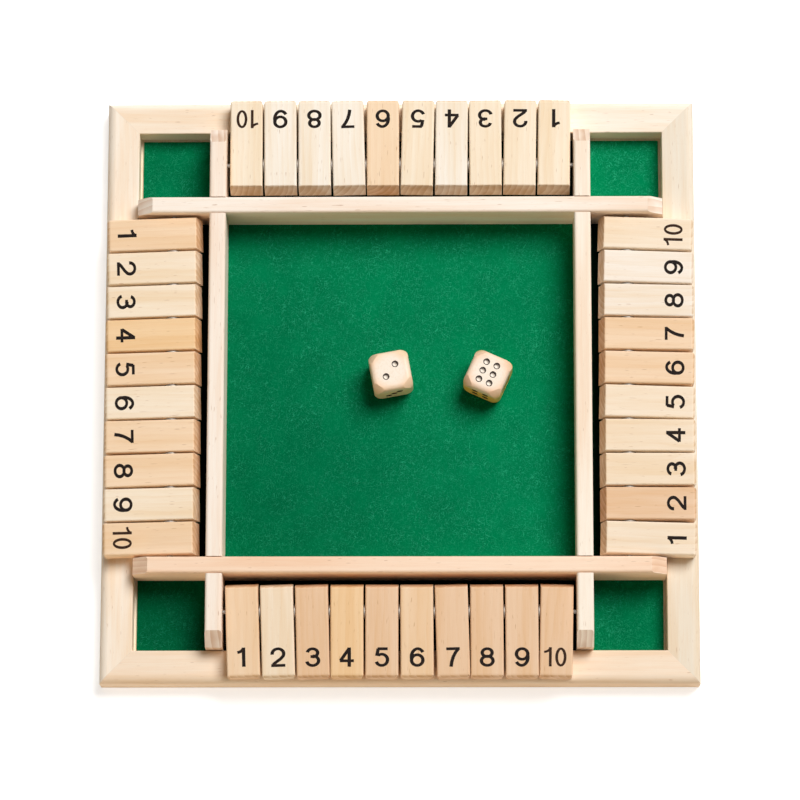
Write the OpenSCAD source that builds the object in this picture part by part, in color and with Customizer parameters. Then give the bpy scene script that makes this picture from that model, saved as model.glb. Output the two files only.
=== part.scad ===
// Four-player shut the box game: a square wooden board with a felt tray, forty flip tiles and two dice.
// The origin is at the centre of the underside, +Z is up, and the south player sits at -Y.

/* [Frame] */
// Outside length of each side of the square frame
board_w = 300; // [298:1:302]
// Width of a frame stick
frame_w = 16.4; // [15.6:0.2:16.8]
// Height of a frame stick
frame_h = 16; // [15.5:0.1:16]
// Radius along the outer top edge of the frame
frame_round = 4.2; // [2:0.1:6]
// Radius along the inner top edge of the frame
frame_ease = 0.6; // [0.3:0.1:1]
// Depth of the rebate that takes the base panel
rebate_w = 6; // [4:0.5:9]

/* [Base and felt] */
// Thickness of the plywood base panel
panel_t = 3.5; // [3:0.1:3.8]
// How far the panel's underside is set back from the frame's
panel_recess = 0.5; // [0.2:0.1:0.8]
// Thickness of the felt
felt_t = 1; // [0.6:0.1:1.2]
// Strip of bare panel between the felt and the frame
felt_margin = 1.4; // [0.5:0.1:3]

/* [Rails] */
// Height of the rails' top above the underside
rail_top = 30; // [29:0.5:31]
// Thickness of a rail
rail_t = 8.4; // [8:0.1:8.6]
// Distance between the inner faces of two facing rails
tray_w = 176.4; // [175.6:0.2:177.6]
// Radius along the top edges of a rail
rail_round = 1.5; // [0.5:0.1:2]
// Length of the slope at each end of a rail
rail_slope = 7.8; // [5:0.2:10]
// Height of a rail's end faces above the underside, where the slope begins
rail_foot = 24; // [17:0.5:27]
// Gap between the ends of a rail and the frame
rail_gap = 0.4; // [0.1:0.1:0.8]
// Gap left in the half-lap joints
lap_gap = 0.1; // [0.05:0.05:0.2]

/* [Tiles] */
// Number of tiles in a row
tile_count = 10; // [10:1:10]
// Width of a tile
tile_w = 16.4; // [16:0.1:16.5]
// Thickness of a tile
tile_t = 10; // [9:0.5:10]
// Distance between the centres of neighbouring tiles
tile_pitch = 17.4; // [17.3:0.05:17.5]
// Reach of a tile from its rod to the numbered end
tile_reach = 33.4; // [30:0.2:34]
// Reach of a tile from its rod to the tip of the short end
tile_tail = 14.8; // [12:0.2:15]
// How much shorter the tile is along its top than along its underside
tail_slope = 3; // [1:0.2:4]
// Radius along the long edges of a tile
tile_soft = 0.9; // [0.4:0.1:1.2]
// Radius along the top and bottom edges of the numbered end
nose_round = 1.8; // [0.8:0.1:2]
// Radius of the four upright corners of a tile
corner_round = 1.8; // [0.6:0.1:2]

/* [Rods] */
// Distance of each rod from the middle of the board
rod_offset = 115; // [114.5:0.1:115.5]
// Height of each rod's axis above the underside
rod_z = 21.1; // [21.1:0.1:21.4]
// Diameter of a rod
rod_d = 2.5; // [2:0.1:3]
// Depth of the blind holes that hold a rod's ends
rod_seat = 6.5; // [4:0.5:7]
// Gap round a rod in a tile
rod_play = 0.08; // [0.04:0.02:0.1]
// Outside diameter of a washer
washer_d = 7.4; // [6:0.2:8]
// Thickness of a washer
washer_t = 0.6; // [0.4:0.05:0.6]

/* [Dice] */
// Edge length of a die
die_w = 20; // [18:0.5:20]
// Radius along a die's edges
die_round = 2.6; // [1.5:0.1:4]
// Radius of the sphere that takes off a die's corners
die_ball = 14; // [13.4:0.1:14.4]
// Diameter of a drilled pip
pip_d = 3.4; // [2.6:0.2:3.6]
// Depth of a pip's straight wall
pip_depth = 0.9; // [0.5:0.1:1.4]

/* [Hidden] */
$fn = 48;
SIDES = ["north", "west", "south", "east"];
half = board_w / 2;
frame_in = half - frame_w;
panel_top = panel_recess + panel_t;
felt_top = panel_top + felt_t;
rail_in = tray_w / 2;
rail_mid = rail_in + rail_t / 2;
rail_out = rail_in + rail_t;
rail_end = frame_in - rail_gap;
lap_z = (felt_top + rail_top) / 2;
tail_lean = atan2(tail_slope, tile_t);

// How far each tile stands askew on its rod in degrees, from tile 1 to tile 10 of each side
tile_yaw = [
    [-0.8, -0.9, 0.3, -0.6, -1.2, 0.2, 1.5, 0.5, 0.6, 0.2],
    [2.0, 2.0, 2.0, 1.9, 1.7, 1.9, 1.4, 1.8, 1.5, 1.3],
    [2.0, 1.9, 1.6, 0.3, 0.1, 0.4, 1.6, 0.3, 0.2, -1.2],
    [-1.6, -0.3, -0.1, -0.6, -1.9, -1.4, -0.8, -1.3, -1.9, -2.0]
];

// The pips of each die on its top, bottom, south, north, east and west faces
die_faces = [[2, 5, 3, 4, 1, 6], [6, 1, 4, 3, 5, 2]];
// The place of each die on the felt, and how far it is turned
die_place = [[-4.6, 7.4], [44.4, 6.2]];
die_turn = [10.5, -24];
// Half the spacing of the pips across a face and along a row of three
pip_x = 2.8;
pip_y = 4.8;

tile_names = [for (s = SIDES) for (i = [1 : tile_count]) str("tile_", s, "_", i)];
side_parts = ["frame_", "rail_", "rod_", "washers_"];

// A rectangle with its four corners rounded, from low to high
module soft_box(low, high, r) {
    translate([low.x + r, low.y]) square([high.x - low.x - 2 * r, high.y - low.y]);
    translate([low.x, low.y + r]) square([high.x - low.x, high.y - low.y - 2 * r]);
    for (x = [low.x + r, high.x - r], y = [low.y + r, high.y - r]) translate([x, y]) circle(r);
}

// Turns what is drawn for the north side to side k
module on_side(k) {
    rotate([0, 0, 90 * k]) children();
}

// Lays a profile drawn with the distance from the middle as x and the height as y along the north side
module along_side(length) {
    rotate([90, 0, 90]) translate([0, 0, -length / 2]) linear_extrude(length) children();
}

// The section of a frame stick: a roundover outside, an eased edge inside and the rebate for the panel
module frame_section() {
    difference() {
        union() {
            translate([frame_in, 0]) square([frame_w, frame_h - frame_round]);
            translate([frame_in + frame_ease, 0]) square([frame_w - frame_ease - frame_round, frame_h]);
            translate([frame_in, 0]) square([frame_w - frame_round, frame_h - frame_ease]);
            translate([half - frame_round, frame_h - frame_round]) circle(frame_round);
            translate([frame_in + frame_ease, frame_h - frame_ease]) circle(frame_ease);
        }
        translate([frame_in - 1, -1]) square([rebate_w + 1, panel_top + 1]);
    }
}

// A mitred stick of the frame
module frame_stick() {
    color("burlywood") intersection() {
        along_side(board_w) frame_section();
        linear_extrude(frame_h) polygon([[0, 0], [half, half], [-half, half]]);
    }
}

// The plywood bottom, let into the frame's rebate
module base_panel() {
    w = 2 * (frame_in + rebate_w) - 0.4;
    color("wheat") translate([-w / 2, -w / 2, panel_recess]) cube([w, w, panel_t]);
}

// One sheet of felt under the whole inside of the board
module felt() {
    w = 2 * (frame_in - felt_margin);
    color("seagreen") translate([-w / 2, -w / 2, panel_top]) cube([w, w, felt_t]);
}

// The section of a rail, with softened top edges
module rail_section() {
    translate([rail_in, felt_top]) square([rail_t, rail_top - felt_top - rail_round]);
    translate([rail_in + rail_round, felt_top]) square([rail_t - 2 * rail_round, rail_top - felt_top]);
    for (x = [rail_in + rail_round, rail_out - rail_round]) {
        translate([x, rail_top - rail_round]) circle(rail_round);
    }
}

// The outline of a rail seen from its side, with an upright face and a slope at both ends
module rail_outline() {
    high = rail_top + 1;
    flat = rail_end - rail_slope * (high - rail_foot) / (rail_top - rail_foot);
    polygon([
        [-rail_end, felt_top], [rail_end, felt_top], [rail_end, rail_foot],
        [flat, high], [-flat, high], [-rail_end, rail_foot]
    ]);
}

// A rail of the north side. The rails of facing sides cross the other two in half-lap joints.
module rail(over) {
    lap = rail_t + 2 * lap_gap;
    low = over ? felt_top - 1 : lap_z - lap_gap / 2;
    high = over ? lap_z + lap_gap / 2 : rail_top + 1;
    color("bisque") difference() {
        intersection() {
            along_side(2 * rail_end) rail_section();
            translate([0, rail_out + 1, 0]) rotate([90, 0, 0]) linear_extrude(rail_t + 2) rail_outline();
        }
        for (s = [-1, 1]) {
            translate([s * rail_mid - lap / 2, rail_in - 1, low]) cube([lap, rail_t + 2, high - low]);
            translate([s * rod_offset, rail_in - 1, rod_z]) rotate([-90, 0, 0]) {
                cylinder(d = rod_d, h = rod_seat + 1);
            }
        }
    }
}

// The steel rod that a row of tiles turns on
module rod() {
    length = tray_w + 2 * rod_seat - 0.2;
    color("silver") translate([-length / 2, rod_offset, rod_z]) rotate([0, 90, 0]) cylinder(d = rod_d, h = length);
}

// The washers that keep neighbouring tiles of a row apart
module washers() {
    color("gainsboro") for (i = [1 : tile_count - 1]) {
        x = (i - tile_count / 2) * tile_pitch;
        translate([x - washer_t / 2, rod_offset, rod_z]) rotate([0, 90, 0]) difference() {
            cylinder(d = washer_d, h = washer_t);
            translate([0, 0, -1]) cylinder(d = rod_d, h = washer_t + 2);
        }
    }
}

// Where the sloped face of the short end lies at height y, and the middle of its rounded corner there
function slope_x(y) = (y + tile_t / 2) * tail_slope / tile_t - tile_tail;
function tail_corner(y) = [slope_x(y) + tile_soft / cos(tail_lean), y];

// The outline of a tile seen from its side, with its rod at the origin and its numbered end at +x
module tile_outline() {
    t = tile_t / 2;
    top = tail_corner(t - tile_soft);
    low = tail_corner(tile_soft - t);
    out = tile_soft * [-cos(tail_lean), sin(tail_lean)];
    translate([-1, -t]) square([tile_reach - nose_round + 1, tile_t]);
    translate([-1, nose_round - t]) square([tile_reach + 1, tile_t - 2 * nose_round]);
    for (y = [-1, 1]) translate([tile_reach - nose_round, y * (t - nose_round)]) circle(nose_round);
    polygon([[0, t], [top.x, t], top + out, low + out, [low.x, -t], [0, -t]]);
    for (c = [top, low]) translate(c) circle(tile_soft);
}

// A tile of the north side at its rod, drilled for the rod
module tile(yaw) {
    t = tile_t / 2;
    w = tile_w / 2;
    difference() {
        rotate([0, 0, yaw]) intersection() {
            rotate([90, 0, 90]) translate([0, 0, -w]) linear_extrude(tile_w) tile_outline();
            translate([0, 0, -t]) linear_extrude(tile_t) {
                soft_box([-w, -tile_tail - 1], [w, tile_reach], corner_round);
            }
            translate([0, tile_reach + 1, 0]) rotate([90, 0, 0]) {
                linear_extrude(tile_reach + tile_tail + 2) soft_box([-w, -t], [w, t], tile_soft);
            }
        }
        rotate([0, 90, 0]) cylinder(d = rod_d + 2 * rod_play, h = 2 * tile_w, center = true);
    }
}

// Tile number n of side k, with 1 on the left of the player who sits there
module tile_at(k, n) {
    x = ((tile_count + 1) / 2 - n) * tile_pitch;
    color(n % 3 == 0 ? "navajowhite" : "moccasin") on_side(k) translate([x, rod_offset, rod_z]) {
        tile(tile_yaw[k][n - 1]);
    }
}

// The places of the pips that show a number
function pips(n) = concat(
    n % 2 == 1 ? [[0, 0]] : [],
    n > 1 && n < 6 ? [[-pip_x, -pip_x], [pip_x, pip_x]] : [],
    n > 3 && n < 6 ? [[pip_x, -pip_x], [-pip_x, pip_x]] : [],
    n == 6 ? [for (x = [-pip_x, pip_x], y = [-pip_y, 0, pip_y]) [x, y]] : []
);

// A die with its centre at the origin
module die(faces) {
    turns = [[0, 0, 0], [180, 0, 0], [90, 0, 0], [-90, 0, 0], [0, 90, 0], [0, -90, 0]];
    h = die_w / 2;
    difference() {
        intersection() {
            rounded_block(h);
            sphere(die_ball, $fn = 96);
        }
        for (f = [0 : 5]) rotate(turns[f]) for (p = pips(faces[f])) translate([p.x, p.y, h - pip_depth]) {
            cylinder(d = pip_d, h = pip_depth + 1);
            translate([0, 0, -pip_depth / 3]) cylinder(d1 = 0.4, d2 = pip_d, h = pip_depth / 3 + 0.01);
        }
    }
}

// A block whose twelve edges are rounded, as the meeting of three rounded bars
module rounded_block(h) {
    intersection() {
        linear_extrude(2 * h, center = true) soft_box([-h, -h], [h, h], die_round);
        rotate([90, 0, 0]) linear_extrude(2 * h, center = true) soft_box([-h, -h], [h, h], die_round);
        rotate([0, 90, 0]) linear_extrude(2 * h, center = true) soft_box([-h, -h], [h, h], die_round);
    }
}

// Die number k at rest on the felt
module die_at(k) {
    color("linen") translate([die_place[k].x, die_place[k].y, felt_top + die_w / 2]) {
        rotate([0, 0, die_turn[k]]) die(die_faces[k]);
    }
}

base_panel();
felt();
die_at(0);  // die_1
die_at(1);  // die_2
for (k = [0 : 3]) {
    on_side(k) frame_stick();
    on_side(k) rail(k % 2 == 0);
    on_side(k) rod();
    on_side(k) washers();
    for (n = [1 : tile_count]) {
        tile_at(k, n);
    }
}
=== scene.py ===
import math

import bpy
import numpy as np
from bpy.props import FloatProperty, FloatVectorProperty, IntProperty, PointerProperty
from mathutils import Matrix, Vector


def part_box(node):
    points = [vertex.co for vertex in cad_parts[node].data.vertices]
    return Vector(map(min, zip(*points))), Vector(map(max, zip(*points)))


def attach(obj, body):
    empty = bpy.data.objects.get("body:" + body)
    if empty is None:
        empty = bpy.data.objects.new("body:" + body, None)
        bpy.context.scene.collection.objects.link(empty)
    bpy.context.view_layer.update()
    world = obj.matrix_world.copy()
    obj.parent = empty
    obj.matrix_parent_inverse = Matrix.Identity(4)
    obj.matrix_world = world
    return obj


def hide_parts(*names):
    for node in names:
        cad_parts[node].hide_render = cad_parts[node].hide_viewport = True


bl_info = {
    "name": "Four-player shut the box game",
    "version": (1, 0, 0),
    "blender": (4, 5, 0),
    "location": "3D View > Sidebar > Shut the Box",
    "description": "Finishes the wood, felt, steel and printed numbers of a shut the box board",
    "category": "Object",
}

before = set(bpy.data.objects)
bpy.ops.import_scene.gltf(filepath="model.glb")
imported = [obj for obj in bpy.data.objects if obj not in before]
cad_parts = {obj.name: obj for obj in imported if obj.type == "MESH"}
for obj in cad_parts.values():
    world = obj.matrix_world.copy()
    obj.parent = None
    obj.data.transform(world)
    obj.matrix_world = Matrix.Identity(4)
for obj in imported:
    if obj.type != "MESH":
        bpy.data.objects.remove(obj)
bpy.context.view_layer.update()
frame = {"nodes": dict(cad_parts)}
NODES = frame["nodes"]

# The sides of the board, each a quarter turn further round than the one before it
SIDES = ["north", "west", "south", "east"]
TILES = range(1, 11)

# Places and sizes that the fixed solids already have
FELT_LOW, FELT_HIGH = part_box("felt")
RAIL_IN, RAIL_OUT = (corner.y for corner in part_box("rail_north"))
ROD_OFFSET = sum(corner.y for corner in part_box("rod_north")) / 2
ROD_HEIGHT = sum(corner.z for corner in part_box("rod_north")) / 2
TILE_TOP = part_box("tile_north_5")[1].z
# Nine washers stand between the ten tiles, and span eight pitches and one washer's thickness
WASHER_LOW, WASHER_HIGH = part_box("washers_north")
WASHER_THICK = 0.0006
TILE_PITCH = (WASHER_HIGH.x - WASHER_LOW.x - WASHER_THICK) / 8
# The middle of a row lies between tiles 5 and 6
ROW_MIDDLE = 5.5
# The height in millimetres that the figures are drawn at, before they are scaled
FIGURE_HEIGHT = 9.2
# The distance at which a wave texture of scale 1 repeats
WAVE_REPEAT = 0.314


def paint(hex_colour):
    """A colour written as sRGB hex, as linear red, green, blue and alpha."""
    parts = [int(hex_colour[i : i + 2], 16) / 255 for i in (0, 2, 4)]
    linear = [p / 12.92 if p <= 0.04045 else ((p + 0.055) / 1.055) ** 2.4 for p in parts]
    return (*linear, 1.0)


def size(name, description, millimetres):
    """A length that a user can change, given in millimetres."""
    return FloatProperty(
        name=name, description=description, default=millimetres / 1000, unit="LENGTH", precision=5, min=0
    )


def colour(name, description, hex_colour):
    """A colour that a user can change."""
    return FloatVectorProperty(
        name=name, description=description, default=paint(hex_colour), subtype="COLOR", size=4, min=0, max=1
    )


class NumberSizes(bpy.types.PropertyGroup):
    """Sizes of the printed numbers."""

    height: size("Height", "Height of a number", 9.6)
    upright: size("Upright stroke", "Thickness of the upright strokes", 1.65)
    level: size("Level stroke", "Thickness of the level strokes", 1.35)
    ink: size("Ink", "How far the ink stands proud of the wood", 0.04)
    from_middle: size("From the middle", "Distance of a number from the middle of the board", 138.4)


class WoodSizes(bpy.types.PropertyGroup):
    """Sizes of the grain in the pine and plywood."""

    ring: size("Growth ring", "Distance between two growth rings", 3.1)
    fibre: size("Fibre", "Width of a fibre streak", 0.7)
    fibre_length: size("Fibre length", "Length of a fibre streak", 16)
    dash: size("Resin dash", "Width of a short brown dash where the saw cut a resin canal", 0.45)
    dash_length: size("Dash length", "Length of a resin dash", 4.5)
    # The pale edge is partly wear and partly a painted highlight
    worn_edge: size("Worn edge", "Width of the rubbed and highlit edge", 0.7)


class FeltSizes(bpy.types.PropertyGroup):
    """Sizes of the felt."""

    fleck: size("Fleck width", "Width of a pale wool fibre", 0.35)
    fleck_length: size("Fleck length", "Length of a pale wool fibre", 2.6)
    dip: size("Dip", "How far the felt dips between the pieces that stand on it", 0.12)
    cells: IntProperty(name="Cells", description="Cells along a side of the felt", default=88, min=8)


class DiceSizes(bpy.types.PropertyGroup):
    """Sizes of the drilled pips."""

    pip: size("Pip", "Diameter of a drilled pip", 3.4)
    wall: size("Pip wall", "Depth of a pip's straight wall", 0.86)
    scorch: size("Scorch", "Thickness of the dark lining inside a pip", 0.4)


class Colours(bpy.types.PropertyGroup):
    """Colours of the finishes."""

    frame: colour("Frame", "Early wood of the frame", "FFF1DF")
    frame_grain: colour("Frame grain", "Late wood of the frame", "F7D9B6")
    rail: colour("Rails", "Early wood of the rails", "FFF2E3")
    rail_grain: colour("Rail grain", "Late wood of the rails", "F6D8BC")
    ink: colour("Ink", "Printed numbers", "120A07")
    worn_ink: colour("Worn ink", "Numbers where the ink is thin", "4A2F1E")
    felt: colour("Felt", "Green wool felt", "00804F")
    fleck: colour("Flecks", "Paler fibres in the felt", "2EB684")
    resin: colour("Resin", "Short brown dashes in the pine", "B4804E")
    steel: colour("Steel", "Drawn steel of the rods", "A09A92")
    zinc: colour("Zinc", "Plating of the washers", "A89F95")
    dice: colour("Dice", "Faces of the dice", "FDEEDB")
    dice_corner: colour("First die's corners", "Upper corners of the die that shows two", "FFD5AC")
    dice_foot: colour("First die's foot", "Lower half of the die that shows two", "F9D8A6")
    amber_corner: colour("Second die's corners", "Upper corners of the die that shows six", "FBCDA8")
    amber_foot: colour("Second die's foot", "Lower half of the die that shows six", "FFC23C")
    # The dark lining of the pips is partly painted shade
    pip: colour("Pips", "Dark lining of the drilled pips, partly painted shade", "2A1D18")
    plywood: colour("Plywood", "Faces of the base panel", "FFF0D6")


# How much red, green and blue the wood of each side gives back, next to the north one: partly the wood's own
# tone, and partly painted light and shade that stand in for how unevenly the light falls across the board
FRAME_TONES = {
    "north": (1, 1, 1, 1),
    "west": (1, 1, 1, 1),
    "south": (0.95, 0.88, 0.81, 1),
    "east": (0.88, 0.89, 0.87, 1),
}
RAIL_TONES = {
    "north": (1, 1, 1, 1),
    "west": (1, 1, 1, 1),
    "south": (1, 0.86, 0.75, 1),
    "east": (1, 1, 0.97, 1),
}
TILE_TONES = {
    "north": (1, 1, 1, 1),
    "west": (0.99, 0.98, 0.98, 1),
    "south": (0.95, 0.925, 0.91, 1),
    "east": (0.97, 0.95, 0.95, 1),
}
# How much darker the cut ends of each rail are: the end grain's own darkening, with painted light on the
# ends of the north and south rails and painted shade on those of the west and east rails
PALE_END, DARK_END = (0.98, 0.96, 0.95, 1), (0.82, 0.75, 0.71, 1)
RAIL_ENDS = {"north": PALE_END, "west": DARK_END, "south": PALE_END, "east": DARK_END}
# Where the middle of the tree was beside each frame stick: how far across and how far below
FRAME_HEARTS = {
    "north": (0.031, -0.034),
    "west": (0.026, -0.02),
    "south": (0.04, -0.05),
    "east": (0.022, -0.03),
}
# The early wood of each tile, from tile 1 to tile 10: cut from several boards, so no two match
TILE_SHADES = {
    "pale": "FDF2E2",
    "cream": "FCEBD2",
    "honey": "F9DCBA",
    "rosy": "F2D1AF",
    "amber": "F8D5A7",
}
TILE_WOODS = {
    "north": "cream cream cream pale cream honey pale pale pale cream",
    "west": "honey cream cream amber honey cream honey honey cream honey",
    # Most of the south row takes the darker shades: partly the wood, and partly painted shade where less
    # light falls than on the north row
    "south": "honey cream rosy amber rosy honey rosy rosy rosy rosy",
    "east": "cream rosy cream cream cream honey honey pale pale cream",
}

# The pips of each die on its top, bottom, south, north, east and west faces
DIE_FACES = {"die_1": (2, 5, 3, 4, 1, 6), "die_2": (6, 1, 4, 3, 5, 2)}
DIE_TURN = {"die_1": math.radians(10.5), "die_2": math.radians(-24)}
# How far from the middle of a face its pips lie: across for most, and along for the two threes of a six
PIP_ACROSS, PIP_ALONG = 0.0028, 0.0048


def settings():
    """The sizes and colours in the panel."""
    return bpy.context.scene.shut_the_box


def node(tree, kind, inputs=None, **choices):
    """Adds a shader node with its choices, its values and its links."""
    made = tree.nodes.new("ShaderNode" + kind)
    for key, value in choices.items():
        setattr(made, key, value)
    for key, value in (inputs or {}).items():
        if isinstance(value, bpy.types.NodeSocket):
            tree.links.new(value, made.inputs[key])
        else:
            made.inputs[key].default_value = value
    return made


def new_material(name):
    """An empty material with a Principled shader, and the node tree that it is made in."""
    made = bpy.data.materials.new(name)
    made.use_nodes = True
    tree = made.node_tree
    tree.nodes.clear()
    shader = node(tree, "BsdfPrincipled")
    node(tree, "OutputMaterial", {"Surface": shader.outputs[0]})
    return made, tree, shader


def finish(shader, tree, base, roughness, height, depth):
    """Joins a colour, a roughness and a height in metres to a shader."""
    bump = node(tree, "Bump", {"Height": height, "Distance": depth, "Strength": 1.0})
    tree.links.new(base, shader.inputs["Base Color"])
    tree.links.new(roughness, shader.inputs["Roughness"])
    tree.links.new(bump.outputs[0], shader.inputs["Normal"])


def dress(piece, material):
    """Gives a piece one material."""
    piece.data.materials.clear()
    piece.data.materials.append(material)


def toned(tint, tone):
    """A colour with its channels scaled by those of a tone."""
    return tuple(c * t for c, t in zip(tint, tone))


def middle_of(name):
    """The middle of a solid's box."""
    low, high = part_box(name)
    return (low + high) / 2


def thicken(piece, name, thickness, offset):
    """Gives a flat piece that is the active object its thickness."""
    body = piece.modifiers.new(name, "SOLIDIFY")
    body.thickness = thickness
    body.offset = offset
    bpy.ops.object.modifier_apply(modifier=body.name)


def joined(parts):
    """Joins objects to the first of them."""
    bpy.ops.object.select_all(action="DESELECT")
    for part in parts:
        part.select_set(True)
    bpy.context.view_layer.objects.active = parts[0]
    if len(parts) > 1:
        bpy.ops.object.join()
    return parts[0]


def pine(name, early, late, turn=0.0, place=(0, 0, 0), seed=0, heart=(0.03, -0.02), contrast=0.22,
         end_shade=(0.88, 0.79, 0.69, 1), joint=False):
    """Pine that was planed, cut and sanded, with its grain along the local Y of a frame turned about Z.

    Planing leaves straight growth lines on the faces and a darker cut across the grain at the ends,
    and the edges are painted paler, partly as wear from handling and partly as a highlight where
    they catch the light. heart is where the middle of the tree was beside the stick, and end_shade
    is how much darker a cut end looks than a face.
    """
    wood = settings().wood
    made, tree, shader = new_material(name)
    spot = node(tree, "TexCoord")
    local = node(
        tree,
        "Mapping",
        {"Vector": spot.outputs["Object"], "Location": place, "Rotation": (0, 0, turn)},
        vector_type="TEXTURE",
    ).outputs[0]
    # Slow waves along the stick bend the growth rings
    drift = node(
        tree,
        "Mapping",
        {"Vector": local, "Location": (seed * 0.37, seed * 0.91, seed * 0.53), "Scale": (30, 9, 30)},
    ).outputs[0]
    wave = node(tree, "TexNoise", {"Vector": drift, "Scale": 1.0, "Detail": 2.0, "Roughness": 0.5})
    bend = node(tree, "VectorMath", {0: wave.outputs["Color"], 1: (0.5, 0.5, 0.5)}, operation="SUBTRACT")
    push = node(tree, "VectorMath", {0: bend.outputs[0], 1: (0.009, 0.0, 0.009)}, operation="MULTIPLY")
    bent = node(tree, "VectorMath", {0: local, 1: push.outputs[0]}, operation="ADD")
    rings_at = node(
        tree, "Mapping", {"Vector": bent.outputs[0], "Location": (heart[0], seed * 0.11, heart[1])}
    ).outputs[0]
    rings = node(
        tree,
        "TexWave",
        {
            "Vector": rings_at,
            "Scale": WAVE_REPEAT / wood.ring,
            "Distortion": 1.6,
            "Detail": 2.0,
            "Detail Scale": 0.6,
        },
        wave_type="RINGS",
        rings_direction="Y",
        wave_profile="SAW",
    )
    ring_tone = node(
        tree, "MapRange", {0: rings.outputs["Fac"], 1: 0.2, 2: 1.0}, interpolation_type="SMOOTHSTEP"
    )
    # Fibre streaks run along the grain
    across, along = 1 / wood.fibre, 1 / wood.fibre_length
    streak_at = node(
        tree,
        "Mapping",
        {"Vector": local, "Location": (seed * 3.1, seed * 1.7, 0), "Scale": (across, along, across)},
    ).outputs[0]
    streaks = node(tree, "TexNoise", {"Vector": streak_at, "Scale": 1.0, "Detail": 3.0, "Roughness": 0.6})
    broad_at = node(
        tree, "Mapping", {"Vector": local, "Location": (0, 0, seed * 2.3), "Scale": (110, 9, 110)}
    ).outputs[0]
    broad = node(tree, "TexNoise", {"Vector": broad_at, "Scale": 1.0, "Detail": 2.0})
    streak_tone = node(tree, "MapRange", {0: streaks.outputs["Fac"], 1: 0.4, 2: 0.8, 3: 0.0, 4: 0.3})
    broad_tone = node(tree, "MapRange", {0: broad.outputs["Fac"], 1: 0.4, 2: 0.64, 3: 0.0, 4: 0.6})
    grain = node(tree, "Math", {0: ring_tone.outputs[0], 1: contrast}, operation="MULTIPLY")
    grain = node(tree, "Math", {0: grain.outputs[0], 1: streak_tone.outputs[0]}, operation="ADD")
    grain = node(
        tree, "Math", {0: grain.outputs[0], 1: broad_tone.outputs[0]}, operation="ADD", use_clamp=True
    )
    face = node(tree, "Mix", {0: grain.outputs[0], 6: early, 7: late}, data_type="RGBA").outputs[2]
    # A resin canal that the saw has opened lengthwise is a short brown dash
    dash_at = node(
        tree,
        "Mapping",
        {
            "Vector": local,
            "Location": (seed * 0.7, seed * 4.3, seed * 1.9),
            "Scale": (1 / wood.dash, 1 / wood.dash_length, 1 / wood.dash),
        },
    ).outputs[0]
    dashes = node(tree, "TexNoise", {"Vector": dash_at, "Scale": 1.0, "Detail": 0.0})
    dash_tone = node(tree, "MapRange", {0: dashes.outputs["Fac"], 1: 0.765, 2: 0.86, 3: 0.0, 4: 0.5})
    dashed = {0: dash_tone.outputs[0], 6: face, 7: settings().colours.resin}
    face = node(tree, "Mix", dashed, data_type="RGBA").outputs[2]
    # Cut ends drink more light: darker and browner, with the rings as arcs
    end_early = toned(early, [0.6 + 0.4 * f for f in end_shade])
    end_late = toned(late, [0.9 * f for f in end_shade])
    arcs = node(tree, "MapRange", {0: rings.outputs["Fac"], 1: 0.0, 2: 1.0, 3: 0.0, 4: 0.7})
    patch = node(
        tree, "Math", {0: broad_tone.outputs[0], 1: arcs.outputs[0]}, operation="ADD", use_clamp=True
    )
    end = node(tree, "Mix", {0: patch.outputs[0], 6: end_early, 7: end_late}, data_type="RGBA").outputs[2]
    run = (-math.sin(turn), math.cos(turn), 0)
    facing = node(tree, "VectorMath", {0: spot.outputs["Normal"], 1: run}, operation="DOT_PRODUCT")
    facing = node(tree, "Math", {0: facing.outputs["Value"]}, operation="ABSOLUTE")
    cut = node(tree, "MapRange", {0: facing.outputs[0], 1: 0.35, 2: 0.6}, interpolation_type="SMOOTHSTEP")
    tone = node(tree, "Mix", {0: cut.outputs[0], 6: face, 7: end}, data_type="RGBA").outputs[2]
    # The edges are painted paler: partly wear from handling, and partly a painted highlight where the
    # rounded edges catch the light
    soft = node(tree, "Bevel", {"Radius": wood.worn_edge}, samples=4)
    true = node(tree, "NewGeometry")
    edge = node(
        tree, "VectorMath", {0: soft.outputs[0], 1: true.outputs["Normal"]}, operation="DOT_PRODUCT"
    )
    rub_and_highlight = node(tree, "MapRange", {0: edge.outputs["Value"], 1: 0.99, 2: 0.8, 3: 0.0, 4: 0.35})
    tone = node(tree, "Mix", {0: rub_and_highlight.outputs[0], 6: tone, 7: paint("FFF4E4")}, data_type="RGBA").outputs[2]
    if joint:
        # The mitre shows as a fine dark line on the diagonals
        parts = node(tree, "SeparateXYZ", {0: spot.outputs["Object"]})
        x = node(tree, "Math", {0: parts.outputs[0]}, operation="ABSOLUTE")
        y = node(tree, "Math", {0: parts.outputs[1]}, operation="ABSOLUTE")
        apart = node(tree, "Math", {0: x.outputs[0], 1: y.outputs[0]}, operation="SUBTRACT")
        apart = node(tree, "Math", {0: apart.outputs[0]}, operation="ABSOLUTE")
        line = node(tree, "MapRange", {0: apart.outputs[0], 1: 0.00025, 2: 0.0001, 3: 0.0, 4: 0.12})
        lined = {0: line.outputs[0], 6: tone, 7: paint("9C7248")}
        tone = node(tree, "Mix", lined, data_type="RGBA").outputs[2]
    rough = node(tree, "MapRange", {0: streaks.outputs["Fac"], 3: 0.58, 4: 0.76})
    finish(shader, tree, tone, rough.outputs[0], grain.outputs[0], 0.00006)
    shader.inputs["Specular IOR Level"].default_value = 0.25
    return made


def turned(side):
    """How far a side of the board is turned from the north one."""
    return math.radians(90 * SIDES.index(side))


def askew(side, number):
    """How far a tile stands askew on its rod: the turn at which it measures narrowest."""
    mesh = NODES[f"tile_{side}_{number}"].data
    spots = np.array([v.co[:2] for v in mesh.vertices])
    # Every tenth of a degree is tried, up to three degrees either way
    turns = [math.radians(step / 10) for step in range(-30, 31)]

    def width(turn):
        across = spots @ [math.cos(turned(side) + turn), math.sin(turned(side) + turn)]
        return across.max() - across.min()

    return min(turns, key=width)


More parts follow.
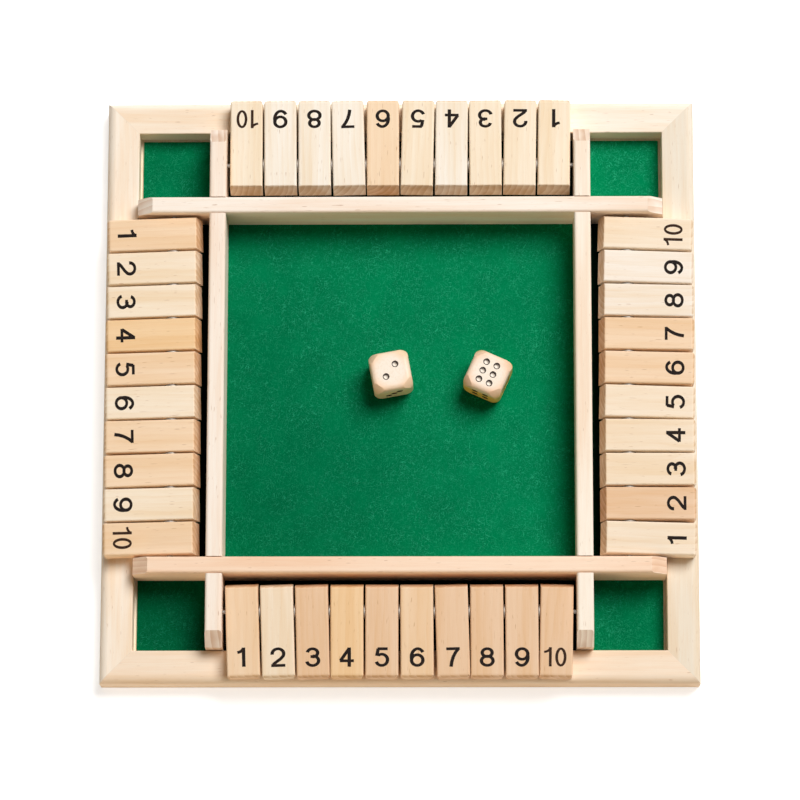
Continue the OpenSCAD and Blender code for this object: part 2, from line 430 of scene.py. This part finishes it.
def tile_place(side, number):
    """Where a tile stands: its own frame, with the origin on the rod and Y towards the numbered end."""
    rod = Vector(((ROW_MIDDLE - number) * TILE_PITCH, ROD_OFFSET, ROD_HEIGHT))
    return (
        Matrix.Rotation(turned(side), 4, "Z")
        @ Matrix.Translation(rod)
        @ Matrix.Rotation(askew(side, number), 4, "Z")
    )


class DressFrame(bpy.types.Operator):
    """Gives the mitred frame its planed pine"""

    bl_idname = "shut_the_box.dress_frame"
    bl_label = "Frame"

    def execute(self, context):
        tones = settings().colours
        for k, side in enumerate(SIDES):
            early = toned(tones.frame, FRAME_TONES[side])
            late = toned(tones.frame_grain, FRAME_TONES[side])
            wood = pine(f"Sanded pine, {side} frame", early, late, turned(side) - math.pi / 2,
                        seed=3 + k, heart=FRAME_HEARTS[side], contrast=0.12, joint=True)
            dress(NODES[f"frame_{side}"], wood)
        return {"FINISHED"}


class DressRails(bpy.types.Operator):
    """Gives the four crossing rails their planed pine"""

    bl_idname = "shut_the_box.dress_rails"
    bl_label = "Rails"

    def execute(self, context):
        tones = settings().colours
        for k, side in enumerate(SIDES):
            early = toned(tones.rail, RAIL_TONES[side])
            late = toned(tones.rail_grain, RAIL_TONES[side])
            wood = pine(f"Sanded pine, {side} rail", early, late, turned(side) - math.pi / 2, seed=11 + k,
                        heart=(0.02 + 0.006 * k, -0.03), contrast=0.1, end_shade=RAIL_ENDS[side])
            dress(NODES[f"rail_{side}"], wood)
        return {"FINISHED"}


class DressTiles(bpy.types.Operator):
    """Gives each flip tile its own piece of sanded pine"""

    bl_idname = "shut_the_box.dress_tiles"
    bl_label = "Tiles"

    def execute(self, context):
        for k, side in enumerate(SIDES):
            for number, shade in zip(TILES, TILE_WOODS[side].split()):
                early = toned(paint(TILE_SHADES[shade]), TILE_TONES[side])
                late = toned(early, (0.92, 0.82, 0.68, 1))
                place = tile_place(side, number)
                # No two neighbours were sawn from the same place in the tree
                aside = 0.012 + 0.005 * ((number * 7 + k * 3) % 6)
                below = -0.008 - 0.006 * ((number * 5 + k) % 5)
                wood = pine(f"Sanded pine, {side} tile {number}", early, late, place.to_euler().z,
                            place.translation, seed=20 + 10 * k + number, heart=(aside, below))
                dress(NODES[f"tile_{side}_{number}"], wood)
        return {"FINISHED"}


def arc(middle, radii, start, stop, steps=14):
    """Points on an ellipse between two angles in degrees."""
    angles = [math.radians(start + (stop - start) * i / steps) for i in range(steps + 1)]
    return [(middle[0] + radii[0] * math.cos(a), middle[1] + radii[1] * math.sin(a)) for a in angles]


def number_strokes(figure):
    """The pen strokes of a figure in millimetres, at FIGURE_HEIGHT and with its middle at the origin."""
    if figure == "0":
        return [arc((0, 0), (2.0, 4.0), 90, 450, 40)]
    if figure == "1":
        flag = [(-2.35, 2.3), (-1.3, 2.5), (-0.4, 2.95), (0.3, 3.6), (0.6, 4.5)]
        return [[(0.6, -4.6), (0.6, 4.6)], flag]
    if figure == "2":
        bowl = arc((0, 1.6), (2.75, 2.4), 188, -30, 22)
        neck = [(1.2, -0.85), (-0.6, -2.1), (-1.9, -3.05), (-2.6, -4.1)]
        return [bowl + neck, [(-3.3, -4.0), (3.4, -4.0)]]
    if figure == "3":
        top = arc((-0.1, 2.05), (2.45, 1.95), 172, -90, 22)
        foot = arc((-0.1, -1.7), (2.8, 2.3), 90, -172, 22)
        return [top, foot, [(-1.1, 0.25), (0.0, 0.25)]]
    if figure == "4":
        return [[(1.15, -4.6), (1.15, 4.6)], [(1.2, 4.3), (-3.0, -1.7)], [(-3.35, -1.75), (3.35, -1.75)]]
    if figure == "5":
        bowl = arc((0.0, -1.3), (2.75, 2.7), 128, -160, 24)
        return [bowl, [(-2.35, 0.6), (-1.7, 4.0)], [(-2.0, 4.0), (2.8, 4.0)]]
    if figure == "6":
        ring = arc((0.05, -1.45), (2.7, 2.55), 90, 450, 36)
        back = arc((0.3, 0.0), (3.0, 4.0), 35, 190, 22)
        return [ring, back]
    if figure == "7":
        leg = [(2.8, 4.2), (1.2, 2.2), (0.0, 0.0), (-0.75, -2.3), (-1.1, -4.6)]
        return [[(-3.2, 4.0), (3.2, 4.0)], leg]
    if figure == "8":
        return [arc((0, 2.1), (2.35, 1.9), 90, 450, 32), arc((0, -1.8), (2.75, 2.2), 90, 450, 36)]
    # A nine is a six turned half round
    return [[(-x, -y) for x, y in stroke] for stroke in number_strokes("6")]


def pen_stroke(points, upright, level, ink):
    """A flat stroke of ink along points, thicker where it runs upright than where it runs level."""
    bpy.ops.object.select_all(action="DESELECT")
    bpy.ops.mesh.primitive_grid_add(x_subdivisions=len(points) - 1, y_subdivisions=1, size=1)
    stroke = bpy.context.object
    path = np.array(points)
    closed = np.allclose(path[0], path[-1])
    ahead = np.roll(path, -1, axis=0) - path
    behind = path - np.roll(path, 1, axis=0)
    if closed:
        ahead[-1], behind[0] = ahead[0], behind[-1]
    else:
        ahead[-1], behind[0] = behind[-1], ahead[0]
    run = ahead + behind
    run /= np.linalg.norm(run, axis=1)[:, None]
    sideways = np.stack([-run[:, 1] * upright / 2, run[:, 0] * level / 2], axis=1)
    for i, vertex in enumerate(stroke.data.vertices):
        row, column = divmod(i, len(points))
        x, y = path[column] + (sideways[column] if row else -sideways[column])
        vertex.co = (x, y, 0)
    if closed:
        # The two ends meet and become one
        weld = stroke.modifiers.new("Weld", "WELD")
        weld.merge_threshold = 0.001
        bpy.ops.object.modifier_apply(modifier=weld.name)
    thicken(stroke, "Ink", ink, 1)
    return stroke


def print_number(number, sizes):
    """One number as printed, flat on the origin, in metres."""
    figures = str(number)
    # The two figures of the 10 stand side by side in finer strokes, and a 1 alone stands a little left
    if len(figures) == 2:
        shifts, fineness = (-3.4, 2.2), 0.8
    else:
        shifts, fineness = (-0.3 if number == 1 else 0.0,), 1.0
    upright, level = (width * 1000 * fineness for width in (sizes.upright, sizes.level))
    strokes = []
    for figure, shift in zip(figures, shifts):
        for points in number_strokes(figure):
            moved = [(x + shift, y) for x, y in points]
            # Each stroke is a hair thicker than the last, so that no two lie in one plane where they cross
            strokes.append(pen_stroke(moved, upright, level, 1.0 + 0.06 * len(strokes)))
    printed = joined(strokes)
    # The ink reaches as far into the wood as it stands proud of it
    scale = sizes.height / FIGURE_HEIGHT
    printed.data.transform(Matrix.Diagonal((scale, scale, sizes.ink * 2, 1)))
    return printed


def numeral_ink(name, thinness):
    """Black screen-printed ink on bare wood: matt, and thin and brown where the grain shows through."""
    tones = settings().colours
    made, tree, shader = new_material(name)
    spot = node(tree, "TexCoord").outputs["Object"]
    # The gaps in the ink are about a millimetre, so they show
    thin = node(tree, "TexNoise", {"Vector": spot, "Scale": 900.0, "Detail": 3.0, "Roughness": 0.6})
    wear = node(tree, "MapRange", {0: thin.outputs["Fac"], 1: 0.55 - 0.4 * thinness, 2: 0.8, 3: 0.0, 4: 0.8})
    inks = {0: wear.outputs[0], 6: tones.ink, 7: tones.worn_ink}
    tone = node(tree, "Mix", inks, data_type="RGBA")
    rough = node(tree, "MapRange", {0: thin.outputs["Fac"], 3: 0.55, 4: 0.8})
    finish(shader, tree, tone.outputs[2], rough.outputs[0], thin.outputs["Fac"], 0.00003)
    shader.inputs["Specular IOR Level"].default_value = 0.12
    return made


class PrintNumbers(bpy.types.Operator):
    """Prints the numbers 1 to 10 on the tiles of each side, to be read by the player who sits there"""

    bl_idname = "shut_the_box.print_numbers"
    bl_label = "Numbers"

    def execute(self, context):
        sizes = settings().numbers
        ink = numeral_ink("Screen-printed black ink", 0.0)
        faint_ink = numeral_ink("Screen-printed black ink, thinly laid", 1.0)
        bpy.ops.object.select_all(action="DESELECT")
        for number in TILES:
            pattern = print_number(number, sizes)
            for side in SIDES:
                copy = bpy.data.objects.new(f"number_{side}_{number}", pattern.data.copy())
                context.scene.collection.objects.link(copy)
                top = Vector((0, sizes.from_middle - ROD_OFFSET, TILE_TOP - ROD_HEIGHT - sizes.ink))
                copy.data.transform(
                    tile_place(side, number) @ Matrix.Translation(top) @ Matrix.Rotation(math.pi, 4, "Z")
                )
                # The screen lays the two crowded figures of the 10 thinner than the rest
                dress(copy, faint_ink if number == 10 else ink)
                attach(copy, f"tile_{side}_{number}")
            bpy.data.objects.remove(pattern)
        return {"FINISHED"}


def wool_felt():
    """Green wool felt, pressed and not woven: matt, with paler loose fibres lying every way."""
    tones, sizes = settings().colours, settings().felt
    made, tree, shader = new_material("Pressed wool felt")
    spot = node(tree, "TexCoord").outputs["Object"]
    mottle = node(tree, "TexNoise", {"Vector": spot, "Scale": 60.0, "Detail": 4.0, "Roughness": 0.6})
    fuzz = node(tree, "TexNoise", {"Vector": spot, "Scale": 1500.0, "Detail": 2.0})
    dark = toned(tones.felt, (0.8, 0.8, 0.8, 1))
    shade = node(tree, "MapRange", {0: mottle.outputs["Fac"], 1: 0.3, 2: 0.7})
    tone = node(tree, "Mix", {0: shade.outputs[0], 6: dark, 7: tones.felt}, data_type="RGBA").outputs[2]
    flecks = None
    # Four lots of fibres, each lying its own way
    for k, lie in enumerate((12, 58, 95, 148)):
        laid = node(
            tree,
            "Mapping",
            {
                "Vector": spot,
                "Rotation": (0, 0, math.radians(lie)),
                "Location": (k * 1.7, k * 0.9, 0),
                "Scale": (sizes.fleck_length, sizes.fleck, 1),
            },
            vector_type="TEXTURE",
        ).outputs[0]
        fibre = node(tree, "TexNoise", {"Vector": laid, "Scale": 1.0, "Detail": 1.5, "Distortion": 0.6})
        show = node(tree, "MapRange", {0: fibre.outputs["Fac"], 1: 0.58, 2: 0.75, 3: 0.0, 4: 0.95})
        if flecks is None:
            flecks = show.outputs[0]
        else:
            both = {0: flecks, 1: show.outputs[0]}
            flecks = node(tree, "Math", both, operation="ADD", use_clamp=True).outputs[0]
    # The loose fibres lie in drifts, thick here and thin there
    drifts = node(tree, "TexNoise", {"Vector": spot, "Scale": 90.0, "Detail": 2.0})
    drift = node(tree, "MapRange", {0: drifts.outputs["Fac"], 1: 0.35, 2: 0.65, 3: 0.35, 4: 1.0})
    flecks = node(tree, "Math", {0: flecks, 1: drift.outputs[0]}, operation="MULTIPLY").outputs[0]
    tone = node(tree, "Mix", {0: flecks, 6: tone, 7: tones.fleck}, data_type="RGBA").outputs[2]
    # Painted shade: the sheet grows darker towards the south-west and lighter towards the north-east, where
    # the light is strongest
    toward_light = node(tree, "VectorMath", {0: spot, 1: (1, 0.55, 0)}, operation="DOT_PRODUCT").outputs["Value"]
    painted_felt_shade = node(tree, "MapRange", {0: toward_light, 1: -0.125, 2: 0.03, 3: 0.67, 4: 1.07})
    # Painted shadow: the felt of the two pockets south of the rail is made darker, standing in for the
    # rail's shadow
    parts = node(tree, "SeparateXYZ", {0: spot})
    rail = (RAIL_IN + RAIL_OUT) / 2
    pockets = node(tree, "MapRange", {0: parts.outputs[1], 1: -RAIL_OUT, 2: -rail, 3: 0.77, 4: 1.0})
    painted_felt_shade = node(tree, "Math", {0: painted_felt_shade.outputs[0], 1: pockets.outputs[0]}, operation="MULTIPLY")
    tone = node(tree, "VectorMath", {0: tone, "Scale": painted_felt_shade.outputs[0]}, operation="SCALE").outputs[0]
    # Painted shade: little light reaches the channels that the tiles swing in, so the felt there is painted
    # nearly black
    x = node(tree, "Math", {0: parts.outputs[0]}, operation="ABSOLUTE")
    y = node(tree, "Math", {0: parts.outputs[1]}, operation="ABSOLUTE")
    far = node(tree, "Math", {0: x.outputs[0], 1: y.outputs[0]}, operation="MAXIMUM")
    near = node(tree, "Math", {0: x.outputs[0], 1: y.outputs[0]}, operation="MINIMUM")
    far = node(tree, "Math", {0: far.outputs[0], 1: rail}, operation="GREATER_THAN")
    near = node(tree, "Math", {0: near.outputs[0], 1: rail}, operation="LESS_THAN")
    channel_shade = node(tree, "Math", {0: far.outputs[0], 1: near.outputs[0]}, operation="MULTIPLY")
    channel_shade = node(tree, "Math", {0: channel_shade.outputs[0], 1: 0.93}, operation="MULTIPLY")
    shaded = {0: channel_shade.outputs[0], 6: tone, 7: paint("070504")}
    tone = node(tree, "Mix", shaded, data_type="RGBA").outputs[2]
    height = node(tree, "Math", {0: flecks, 1: fuzz.outputs["Fac"]}, operation="ADD")
    rough = node(tree, "MapRange", {0: fuzz.outputs["Fac"], 3: 0.85, 4: 1.0})
    finish(shader, tree, tone, rough.outputs[0], height.outputs[0], 0.00025)
    shader.inputs["Specular IOR Level"].default_value = 0.0
    return made


class LayFelt(bpy.types.Operator):
    """Lays one sheet of felt on the base panel, under the rails and the dice"""

    bl_idname = "shut_the_box.lay_felt"
    bl_label = "Felt"

    def execute(self, context):
        sizes = settings().felt
        width = FELT_HIGH.x - FELT_LOW.x
        thick = FELT_HIGH.z - FELT_LOW.z
        bpy.ops.object.select_all(action="DESELECT")
        bpy.ops.mesh.primitive_grid_add(
            x_subdivisions=sizes.cells, y_subdivisions=sizes.cells, size=width, location=(0, 0, FELT_HIGH.z)
        )
        felt = context.object
        felt.name = felt.data.name = "felt_sheet"
        bpy.ops.object.transform_apply(location=True, rotation=True, scale=True)
        dice = [middle_of(die) for die in DIE_FACES]
        # The felt stays at its full height at its cut edge and under what stands on it, such as a die
        # within its reach, and sinks over a run from there
        die_reach, run = 0.016, 0.01
        for vertex in felt.data.vertices:
            x, y = abs(vertex.co.x), abs(vertex.co.y)
            near_rail = min(max(RAIL_IN - d, d - RAIL_OUT, 0) for d in (x, y))
            near_die = min((vertex.co.xy - d.xy).length - die_reach for d in dice)
            free = max(0, min(near_rail, near_die, width / 2 - x, width / 2 - y, run)) / run
            lump = math.sin(vertex.co.x * 97 + 3 * math.sin(vertex.co.y * 71)) * math.sin(vertex.co.y * 113)
            vertex.co.z -= sizes.dip * free * (0.5 + 0.5 * lump)
        thicken(felt, "Thickness", thick, -1)
        # The dips are in the top only, so the underside is pressed flat on the panel
        for vertex in felt.data.vertices:
            if vertex.co.z < (FELT_LOW.z + FELT_HIGH.z) / 2:
                vertex.co.z = FELT_LOW.z
        dress(felt, wool_felt())
        bpy.ops.object.shade_smooth_by_angle(angle=math.radians(40))
        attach(felt, "board")
        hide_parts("felt")
        return {"FINISHED"}


class DressBase(bpy.types.Operator):
    """Gives the base panel its birch plywood"""

    bl_idname = "shut_the_box.dress_base"
    bl_label = "Base panel"

    def execute(self, context):
        made, tree, shader = new_material("Sanded birch plywood")
        # Rotary-cut veneer has broad faint figure, and the panel's edge shows its three plies
        spot = node(tree, "TexCoord").outputs["Object"]
        stretched = node(tree, "Mapping", {"Vector": spot, "Scale": (60, 7, 60)}).outputs[0]
        veneer = {"Vector": stretched, "Scale": 1.0, "Detail": 4.0, "Distortion": 1.2}
        figure = node(tree, "TexNoise", veneer)
        fine_at = node(tree, "Mapping", {"Vector": spot, "Scale": (1400, 60, 1400)}).outputs[0]
        fine = node(tree, "TexNoise", {"Vector": fine_at, "Scale": 1.0, "Detail": 3.0})
        early = settings().colours.plywood
        late = toned(early, (0.82, 0.72, 0.6, 1))
        both = node(tree, "Math", {0: figure.outputs["Fac"], 1: fine.outputs["Fac"]}, operation="MULTIPLY")
        shade = node(tree, "MapRange", {0: both.outputs[0], 1: 0.1, 2: 0.45})
        tone = node(tree, "Mix", {0: shade.outputs[0], 6: early, 7: late}, data_type="RGBA").outputs[2]
        height = node(tree, "SeparateXYZ", {0: spot}).outputs[2]
        from_core = {0: height, 1: middle_of("base_panel").z}
        from_core = node(tree, "Math", from_core, operation="SUBTRACT").outputs[0]
        from_core = node(tree, "Math", {0: from_core}, operation="ABSOLUTE").outputs[0]
        core = node(tree, "MapRange", {0: from_core, 1: 0.0008, 2: 0.0006, 3: 0.0, 4: 0.6})
        plies = {0: core.outputs[0], 6: tone, 7: paint("A87A4C")}
        tone = node(tree, "Mix", plies, data_type="RGBA").outputs[2]
        rough = node(tree, "MapRange", {0: fine.outputs["Fac"], 3: 0.5, 4: 0.75})
        finish(shader, tree, tone, rough.outputs[0], fine.outputs["Fac"], 0.00005)
        dress(NODES["base_panel"], made)
        return {"FINISHED"}


def steel(name, tint, roughness, scratch):
    """Bright steel with fine scratches from handling."""
    made, tree, shader = new_material(name)
    spot = node(tree, "TexCoord").outputs["Object"]
    drawn = node(tree, "Mapping", {"Vector": spot, "Scale": scratch}).outputs[0]
    lines = node(tree, "TexNoise", {"Vector": drawn, "Scale": 1.0, "Detail": 2.0})
    dull = toned(tint, (0.72, 0.72, 0.72, 1))
    tone = node(tree, "Mix", {0: lines.outputs["Fac"], 6: tint, 7: dull}, data_type="RGBA").outputs[2]
    rough = node(tree, "MapRange", {0: lines.outputs["Fac"], 3: roughness, 4: roughness + 0.18})
    finish(shader, tree, tone, rough.outputs[0], lines.outputs["Fac"], 0.00001)
    shader.inputs["Metallic"].default_value = 1.0
    return made


class DressMetal(bpy.types.Operator):
    """Gives the rods their drawn steel and the washers their zinc plating"""

    bl_idname = "shut_the_box.dress_metal"
    bl_label = "Rods and washers"

    def execute(self, context):
        tones = settings().colours
        for side in SIDES:
            # Drawing leaves lines along a rod, and tumbling leaves a washer scratched all ways
            along_x = side in ("north", "south")
            lines = (30, 3000, 3000) if along_x else (3000, 30, 3000)
            drawn = steel(f"Drawn steel, {side} rod", tones.steel, 0.25, lines)
            dress(NODES[f"rod_{side}"], drawn)
            plated = steel(f"Zinc-plated steel, {side} washers", tones.zinc, 0.5, (900, 900, 900))
            dress(NODES[f"washers_{side}"], plated)
        return {"FINISHED"}


def dice_wood(name, die, corner_tone, foot_tone):
    """Pale beech, tumbled and lacquered: even faces, and tan where the corners cut across the grain."""
    tones = settings().colours
    made, tree, shader = new_material(name)
    spot = node(tree, "TexCoord").outputs["Object"]
    centred = node(tree, "VectorMath", {0: spot, 1: middle_of(die)}, operation="SUBTRACT").outputs[0]
    away = node(tree, "VectorMath", {0: centred}, operation="LENGTH").outputs["Value"]
    laid = {"Vector": centred, "Rotation": (0.2, 0.5, 0.4), "Scale": (900, 900, 90)}
    grain_at = node(tree, "Mapping", laid)
    grain = node(tree, "TexNoise", {"Vector": grain_at.outputs[0], "Scale": 1.0, "Detail": 3.0})
    blotch = node(tree, "TexNoise", {"Vector": centred, "Scale": 160.0, "Detail": 2.0})
    late = toned(tones.dice, (0.92, 0.85, 0.76, 1))
    shade = node(tree, "MapRange", {0: grain.outputs["Fac"], 1: 0.45, 2: 0.8, 3: 0.0, 4: 0.7})
    tone = node(tree, "Mix", {0: shade.outputs[0], 6: tones.dice, 7: late}, data_type="RGBA").outputs[2]
    # The tan starts 11.8 mm from the die's middle and is full at 15.6 mm, with a blotchy limit
    reach = node(tree, "Math", {0: blotch.outputs["Fac"], 1: 0.0012}, operation="MULTIPLY")
    reach = node(tree, "Math", {0: away, 1: reach.outputs[0]}, operation="ADD")
    corner = node(
        tree, "MapRange", {0: reach.outputs[0], 1: 0.0118, 2: 0.0156}, interpolation_type="SMOOTHSTEP"
    )
    # The lower half is tinted towards the foot colour: partly the die's own warmer tone, and partly painted
    # warm light, as the low fill throws on the lower faces
    level = node(tree, "SeparateXYZ", {0: centred}).outputs[2]
    lower = node(tree, "MapRange", {0: level, 1: 0.009, 2: 0.002}, interpolation_type="SMOOTHSTEP")
    tints = {0: lower.outputs[0], 6: corner_tone, 7: foot_tone}
    tint = node(tree, "Mix", tints, data_type="RGBA").outputs[2]
    tint_share = node(tree, "Math", {0: lower.outputs[0], 1: 0.9}, operation="MULTIPLY")
    tint_share = node(tree, "Math", {0: tint_share.outputs[0], 1: corner.outputs[0]}, operation="MAXIMUM")
    tone = node(tree, "Mix", {0: tint_share.outputs[0], 6: tone, 7: tint}, data_type="RGBA").outputs[2]
    rough = node(tree, "MapRange", {0: grain.outputs["Fac"], 3: 0.3, 4: 0.5})
    finish(shader, tree, tone, rough.outputs[0], grain.outputs["Fac"], 0.00003)
    shader.inputs["Specular IOR Level"].default_value = 0.3
    return made


def pips(count):
    """The places of the pips that show a number on a face."""
    across, along = PIP_ACROSS, PIP_ALONG
    places = [(0, 0)] if count % 2 else []
    if 1 < count < 6:
        places += [(-across, -across), (across, across)]
    if 3 < count < 6:
        places += [(across, -across), (-across, across)]
    if count == 6:
        places += [(x, y) for x in (-across, across) for y in (-along, 0, along)]
    return places


def scorched_wood():
    """Nearly black and dull wood that lines the pips: partly their own dark rim, and partly painted shade
    that deepens the shadow in each bore.
    """
    made, tree, shader = new_material("Pip lining, with painted shade")
    spot = node(tree, "TexCoord").outputs["Object"]
    lining_noise = node(tree, "TexNoise", {"Vector": spot, "Scale": 1800.0, "Detail": 2.0})
    shade = node(tree, "MapRange", {0: lining_noise.outputs["Fac"], 1: 0.5, 2: 0.85, 3: 0.0, 4: 0.35})
    tone = node(
        tree, "Mix", {0: shade.outputs[0], 6: settings().colours.pip, 7: paint("6B4A35")}, data_type="RGBA"
    )
    rough = node(tree, "MapRange", {0: lining_noise.outputs["Fac"], 3: 0.6, 4: 0.85})
    finish(shader, tree, tone.outputs[2], rough.outputs[0], lining_noise.outputs["Fac"], 0.00003)
    shader.inputs["Specular IOR Level"].default_value = 0.2
    return made


class DressDice(bpy.types.Operator):
    """Gives the two dice their tumbled wood and the dark rings that line their pips, partly painted shade"""

    bl_idname = "shut_the_box.dress_dice"
    bl_label = "Dice"

    def execute(self, context):
        sizes, tones = settings().dice, settings().colours
        # The dark linings of the pips are partly painted shade
        lining_shade = scorched_wood()
        # The turns about X and Y that bring the upper face to each face in turn
        quarter = math.pi / 2
        turns = [(0, 0), (math.pi, 0), (quarter, 0), (-quarter, 0), (0, quarter), (0, -quarter)]
        # How far a ring stays inside its bore and below its face
        inside, sunk = 0.00002, 0.00004
        tints = {
            "die_1": (tones.dice_corner, tones.dice_foot),
            "die_2": (tones.amber_corner, tones.amber_foot),
        }
        for die, (corner, foot) in tints.items():
            dress(NODES[die], dice_wood(f"Lacquered beech, {die}", die, corner, foot))
            low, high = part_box(die)
            half = (high.z - low.z) / 2
            rings = []
            for (about_x, about_y), count in zip(turns, DIE_FACES[die]):
                face = (
                    Matrix.Translation(middle_of(die))
                    @ Matrix.Rotation(DIE_TURN[die], 4, "Z")
                    @ Matrix.Rotation(about_y, 4, "Y")
                    @ Matrix.Rotation(about_x, 4, "X")
                )
                for x, y in pips(count):
                    bpy.ops.object.select_all(action="DESELECT")
                    bpy.ops.mesh.primitive_cylinder_add(
                        vertices=32, radius=sizes.pip / 2 - inside, depth=sizes.wall, end_fill_type="NOTHING"
                    )
                    ring = context.object
                    for vertex in ring.data.vertices:
                        vertex.co.z += half - sizes.wall / 2 - sunk
                    thicken(ring, "Scorch", sizes.scorch, -1)
                    ring.data.transform(face @ Matrix.Translation((x, y, 0)))
                    rings.append(ring)
            scorch = joined(rings)
            scorch.name = scorch.data.name = f"{die}_pip_rings"
            dress(scorch, lining_shade)
            bpy.ops.object.shade_smooth_by_angle(angle=math.radians(40))
            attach(scorch, die)
        return {"FINISHED"}


def seen_directly(tree):
    """One where the camera, a reflection or clear glass looks, and nought where light only bounces."""
    path = node(tree, "LightPath").outputs
    seen = node(tree, "Math", {0: path["Is Camera Ray"], 1: path["Is Glossy Ray"]}, operation="MAXIMUM")
    seen = node(tree, "Math", {0: seen.outputs[0], 1: path["Is Transmission Ray"]}, operation="MAXIMUM")
    return seen.outputs[0]


class SetStage(bpy.types.Operator):
    """Sets the camera, a pale floor and soft studio light"""

    bl_idname = "shut_the_box.set_stage"
    bl_label = "Stage"

    def execute(self, context):
        scene = context.scene
        bpy.ops.object.select_all(action="DESELECT")
        # The camera looks down from 1.98 m up, a little to the south and east of the middle
        bpy.ops.object.camera_add(location=(0.0330, -0.4181, 1.9831))
        camera = context.object
        camera.rotation_mode = "ZYX"
        camera.rotation_euler = [math.radians(a) for a in (11.83, 0.94, -0.11)]
        camera.data.sensor_width = 36
        camera.data.lens = 179.1
        scene.camera = camera

        bpy.ops.mesh.primitive_plane_add(size=8)
        floor = context.object
        floor.name = "floor"
        made, tree, shader = new_material("White studio floor")
        shader.inputs["Base Color"].default_value = paint("F4F4F4")
        shader.inputs["Roughness"].default_value = 0.9
        # The glow lifts the floor to white, and it lights nothing
        shader.inputs["Emission Color"].default_value = (1, 1, 1, 1)
        glow = node(tree, "Math", {0: seen_directly(tree), 1: 0.6}, operation="MULTIPLY")
        tree.links.new(glow.outputs[0], shader.inputs["Emission Strength"])
        dress(floor, made)

        world = bpy.data.worlds.new("Studio")
        world.use_nodes = True
        tree = world.node_tree
        tree.nodes.clear()
        # The room is white to look at, and the little light it sends back is warm
        seen = seen_directly(tree)
        strength = node(tree, "MapRange", {0: seen, 3: 0.08, 4: 1.0})
        hue = node(tree, "Mix", {0: seen, 6: (1, 0.9, 0.76, 1), 7: (1, 1, 1, 1)}, data_type="RGBA")
        sky = node(tree, "Background", {"Color": hue.outputs[2], "Strength": strength.outputs[0]})
        node(tree, "OutputWorld", {"Surface": sky.outputs[0]})
        scene.world = world

        # One large soft lamp high to the north-east, and a faint warm fill from low in the south-west:
        # the name, the place, the width in metres, the power in watts and the tint
        lamps = [
            ("soft_key", (1.5, 1.75, 3.5), 2.5, 196, (0.99, 1.0, 1.02)),
            ("low_fill", (-0.6, -1.6, 0.3), 0.8, 8.8, (1.0, 0.82, 0.56)),
        ]
        for name, place, width, power, tint in lamps:
            bpy.ops.object.light_add(type="AREA", location=place)
            lamp = context.object
            lamp.name = name
            lamp.data.shape = "DISK"
            lamp.data.size = width
            lamp.data.energy = power
            lamp.data.color = tint
            lamp.rotation_euler = Vector(place).to_track_quat("Z", "Y").to_euler()

        scene.view_settings.view_transform = "Standard"
        return {"FINISHED"}


class Settings(bpy.types.PropertyGroup):
    """All that a user can change."""

    numbers: PointerProperty(type=NumberSizes)
    wood: PointerProperty(type=WoodSizes)
    felt: PointerProperty(type=FeltSizes)
    dice: PointerProperty(type=DiceSizes)
    colours: PointerProperty(type=Colours)


OPERATORS = [
    SetStage,
    DressFrame,
    DressRails,
    DressTiles,
    PrintNumbers,
    LayFelt,
    DressBase,
    DressMetal,
    DressDice,
]


class ShutTheBoxPanel(bpy.types.Panel):
    """Lists the sizes, the colours and the steps"""

    bl_idname = "VIEW3D_PT_shut_the_box"
    bl_label = "Shut the Box"
    bl_space_type = "VIEW_3D"
    bl_region_type = "UI"
    bl_category = "Shut the Box"

    def draw(self, context):
        for part in ("numbers", "wood", "felt", "dice", "colours"):
            group = getattr(settings(), part)
            box = self.layout.box()
            for name in group.__annotations__:
                box.prop(group, name)
        for operator in OPERATORS:
            self.layout.operator(operator.bl_idname)


CLASSES = [NumberSizes, WoodSizes, FeltSizes, DiceSizes, Colours, Settings, *OPERATORS, ShutTheBoxPanel]


def register():
    """Adds the classes and the settings to Blender."""
    for item in CLASSES:
        bpy.utils.register_class(item)
    bpy.types.Scene.shut_the_box = PointerProperty(type=Settings)


def unregister():
    """Takes the settings and the classes out again."""
    del bpy.types.Scene.shut_the_box
    for item in reversed(CLASSES):
        bpy.utils.unregister_class(item)


def main():
    """Makes every piece in order."""
    register()
    for operator in OPERATORS:
        group, name = operator.bl_idname.split(".")
        getattr(getattr(bpy.ops, group), name)()


if __name__ == "__main__":
    main()
